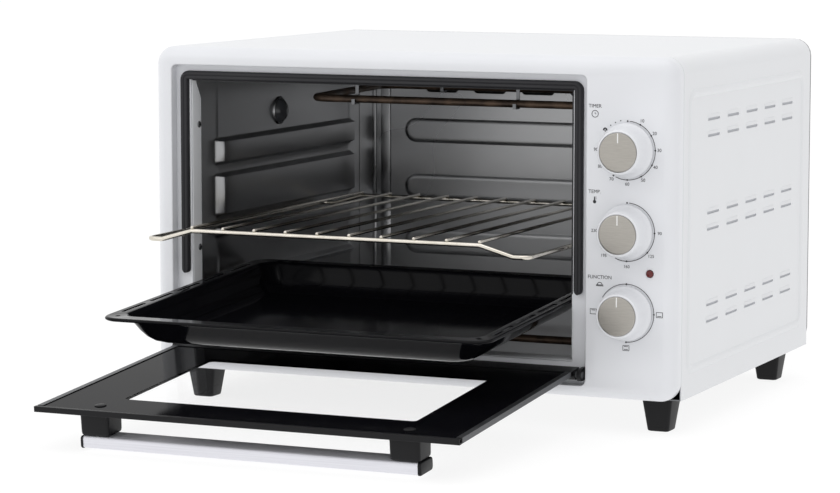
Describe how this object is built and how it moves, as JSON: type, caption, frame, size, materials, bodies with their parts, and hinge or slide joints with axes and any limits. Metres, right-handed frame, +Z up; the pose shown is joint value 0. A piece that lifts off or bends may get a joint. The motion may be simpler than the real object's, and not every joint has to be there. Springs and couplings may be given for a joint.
{
  "type": "toaster oven",
  "caption": "Countertop mini oven with a drop-down glass door, wire rack, enamel tray and rotary controls, shown open.",
  "frame": {"origin": "centre of the whole object's footprint with the door open, on the floor under the feet", "axes": "+X to the right seen from the front, +Y to the rear panel, +Z up; the door opens towards -Y"},
  "size_m": [0.5, 0.653, 0.3252],
  "materials": {
    "white_enamel": "white powder coat, satin",
    "white_plastic": "white moulding, semi-gloss",
    "black_plastic": "black moulding, satin",
    "black_enamel": "black vitreous enamel, glossy",
    "gasket_rubber": "dark silicone rubber",
    "cavity_steel": "aluminised steel, reflective",
    "zinc_steel": "zinc-plated sheet steel",
    "chrome_wire": "bright chrome plate",
    "heater_sheath": "heat-darkened tube",
    "ceramic": null,
    "brass_contact": "plain brass",
    "door_glass": "clear toughened glass with a black printed border",
    "trim_grey": "grey edge trim",
    "handle_bar": "pale satin bar",
    "knob_cap": "champagne-grey brushed disc",
    "lamp_red": "dark red lens",
    "clear_glass": "clear glass",
    "bakelite": "dark brown moulding",
    "wire_cover": "grey wire sleeve"
  },
  "bodies": {
    "cabinet": {"front_panel": "white_plastic", "cavity_front_frame": "white_enamel", "housing_shell": "white_enamel", "rear_panel": "zinc_steel", "cord_gland": "black_plastic", "base_plate": "zinc_steel", "foot_front_left": "black_plastic", "foot_front_right": "black_plastic", "foot_rear_left": "black_plastic", "foot_rear_right": "black_plastic", "door_gasket": "gasket_rubber", "cavity_left_wall": "cavity_steel", "cavity_right_wall": "cavity_steel", "cavity_ceiling": "cavity_steel", "cavity_floor": "cavity_steel", "cavity_back_wall": "cavity_steel", "upper_heating_element": "heater_sheath", "lower_heating_element": "heater_sheath", "upper_element_mount": "ceramic", "lower_element_mount": "ceramic", "upper_element_hanger_left": "zinc_steel", "upper_element_hanger_right": "zinc_steel", "lower_element_support": "zinc_steel", "lamp_cover": "clear_glass", "lamp_bulb": "clear_glass", "lamp_holder": "ceramic", "control_bracket": "zinc_steel", "timer_mechanism": "zinc_steel", "thermostat_body": "bakelite", "function_switch": "bakelite", "timer_bell": "brass_contact", "indicator_lens": "lamp_red", "indicator_lamp": "clear_glass", "thermostat_probe": "brass_contact", "terminal_block": "ceramic", "wiring_harness": "wire_cover", "hinge_ear_left": "black_plastic", "hinge_ear_right": "black_plastic"},
    "door": {"door_glass": "door_glass", "door_side_trim_left": "trim_grey", "door_side_trim_right": "trim_grey", "door_top_trim": "trim_grey", "door_hinge_rail": "black_plastic", "door_hinge_rod": "zinc_steel", "handle_post_left": "black_plastic", "handle_post_right": "black_plastic", "handle_bar": "handle_bar", "handle_screw_left": "black_plastic", "handle_screw_right": "black_plastic"},
    "rack": {"wire_rack": "chrome_wire"},
    "tray": {"baking_tray": "black_enamel"},
    "timer_dial": {"timer_knob": "white_plastic", "timer_knob_cap": "knob_cap", "timer_shaft": "zinc_steel"},
    "thermostat_dial": {"thermostat_knob": "white_plastic", "thermostat_knob_cap": "knob_cap", "thermostat_shaft": "zinc_steel"},
    "function_dial": {"function_knob": "white_plastic", "function_knob_cap": "knob_cap", "function_shaft": "zinc_steel"}
  },
  "joints": [
    {"name": "door_hinge", "type": "hinge", "parent": "cabinet", "child": "door", "pos_m": [0, -0.0735, 0.0517], "axis": [-1, 0, 0], "range_deg": [0, 94.5]},
    {"name": "rack_slide", "type": "slide", "parent": "cabinet", "child": "rack", "axis": [0, 1, 0], "range_m": [0, 0.0881]},
    {"name": "tray_slide", "type": "slide", "parent": "cabinet", "child": "tray", "axis": [0, 0.9952, 0.0976], "range_m": [0, 0.2341]},
    {"name": "timer_turn", "type": "hinge", "parent": "cabinet", "child": "timer_dial", "pos_m": [0.2065, -0.0715, 0.2462], "axis": [0, 1, 0], "range_deg": [-50, 270]},
    {"name": "thermostat_turn", "type": "hinge", "parent": "cabinet", "child": "thermostat_dial", "pos_m": [0.2065, -0.0715, 0.1767], "axis": [0, 1, 0], "range_deg": [0, 270]},
    {"name": "function_turn", "type": "hinge", "parent": "cabinet", "child": "function_dial", "pos_m": [0.2065, -0.0715, 0.1072], "axis": [0, 1, 0], "range_deg": [0, 270]}
  ],
  "couplings": [
    {"joint": "rack_slide", "follows": "door_hinge", "m_per_rad": 0.053294},
    {"joint": "tray_slide", "follows": "door_hinge", "m_per_rad": 0.1418}
  ]
}
